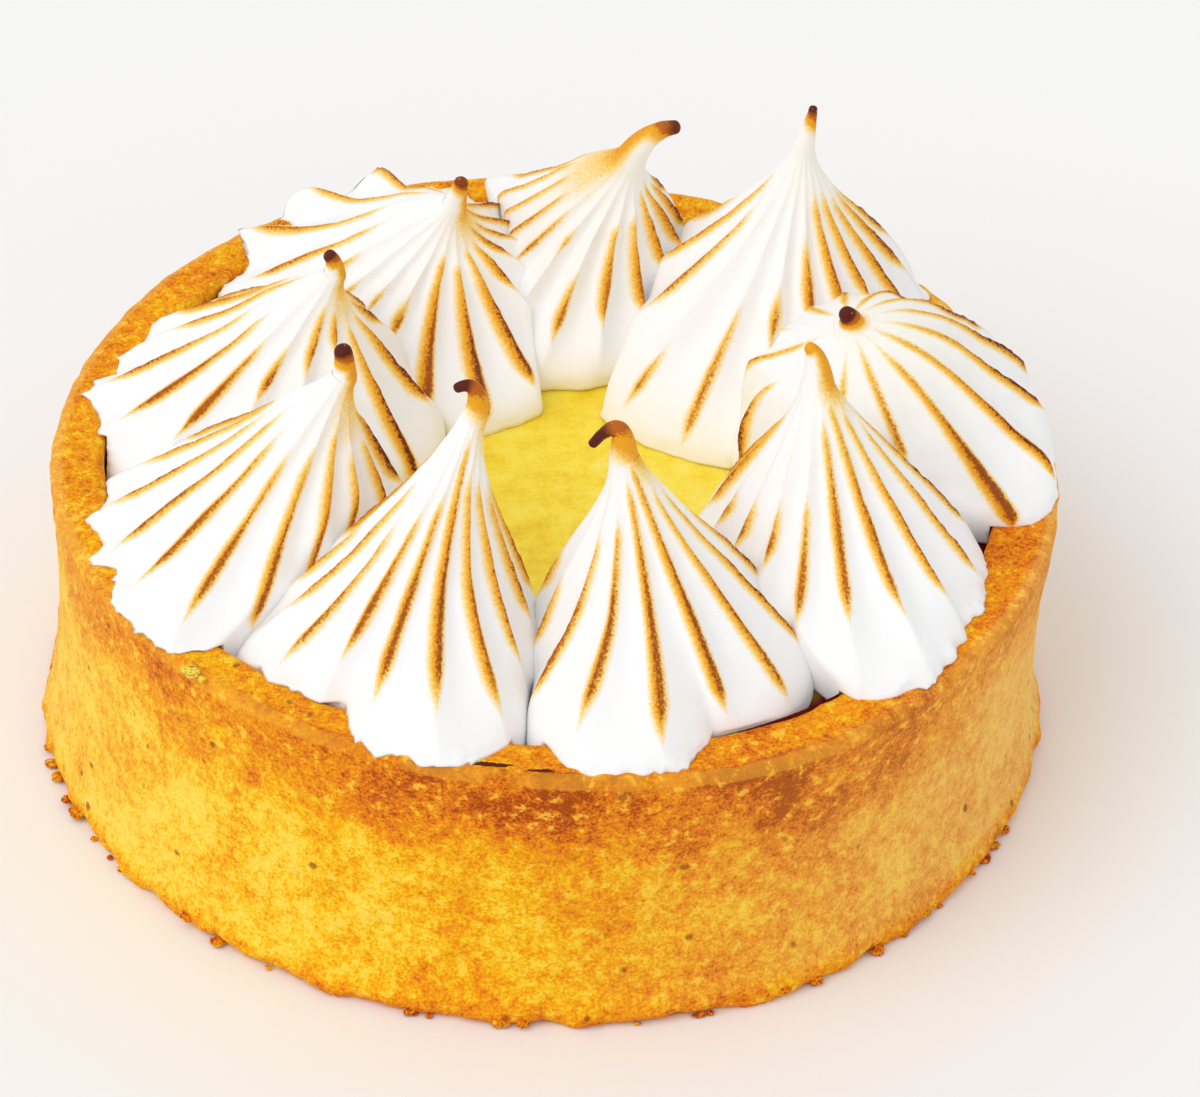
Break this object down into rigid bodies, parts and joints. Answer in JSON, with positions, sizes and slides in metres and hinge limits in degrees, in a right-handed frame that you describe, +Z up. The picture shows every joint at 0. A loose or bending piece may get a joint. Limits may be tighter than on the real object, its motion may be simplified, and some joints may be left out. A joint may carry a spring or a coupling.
{
  "type": "lemon meringue tart",
  "caption": "Small round tart with a golden short-crust case, bright lemon curd and a ring of tall piped meringue kisses with browned ridges and tips.",
  "frame": {"origin": "centre of the flat base, on the surface the tart stands on", "axes": "+Z up, -Y to the front of the picture, +X to the right as seen from the front"},
  "size_m": [0.0819, 0.0803, 0.0475],
  "materials": {
    "pastry": "matt baked short crust, golden with brown freckles",
    "curd": "smooth, slightly glossy lemon curd",
    "meringue": "soft satin white meringue with toasted golden to dark brown ridges"
  },
  "bodies": {
    "root": {"crust": "pastry", "lemon_curd": "curd", "meringue_1": "meringue", "meringue_2": "meringue", "meringue_3": "meringue", "meringue_4": "meringue", "meringue_5": "meringue", "meringue_6": "meringue", "meringue_7": "meringue", "meringue_8": "meringue", "meringue_9": "meringue"}
  },
  "joints": []
}
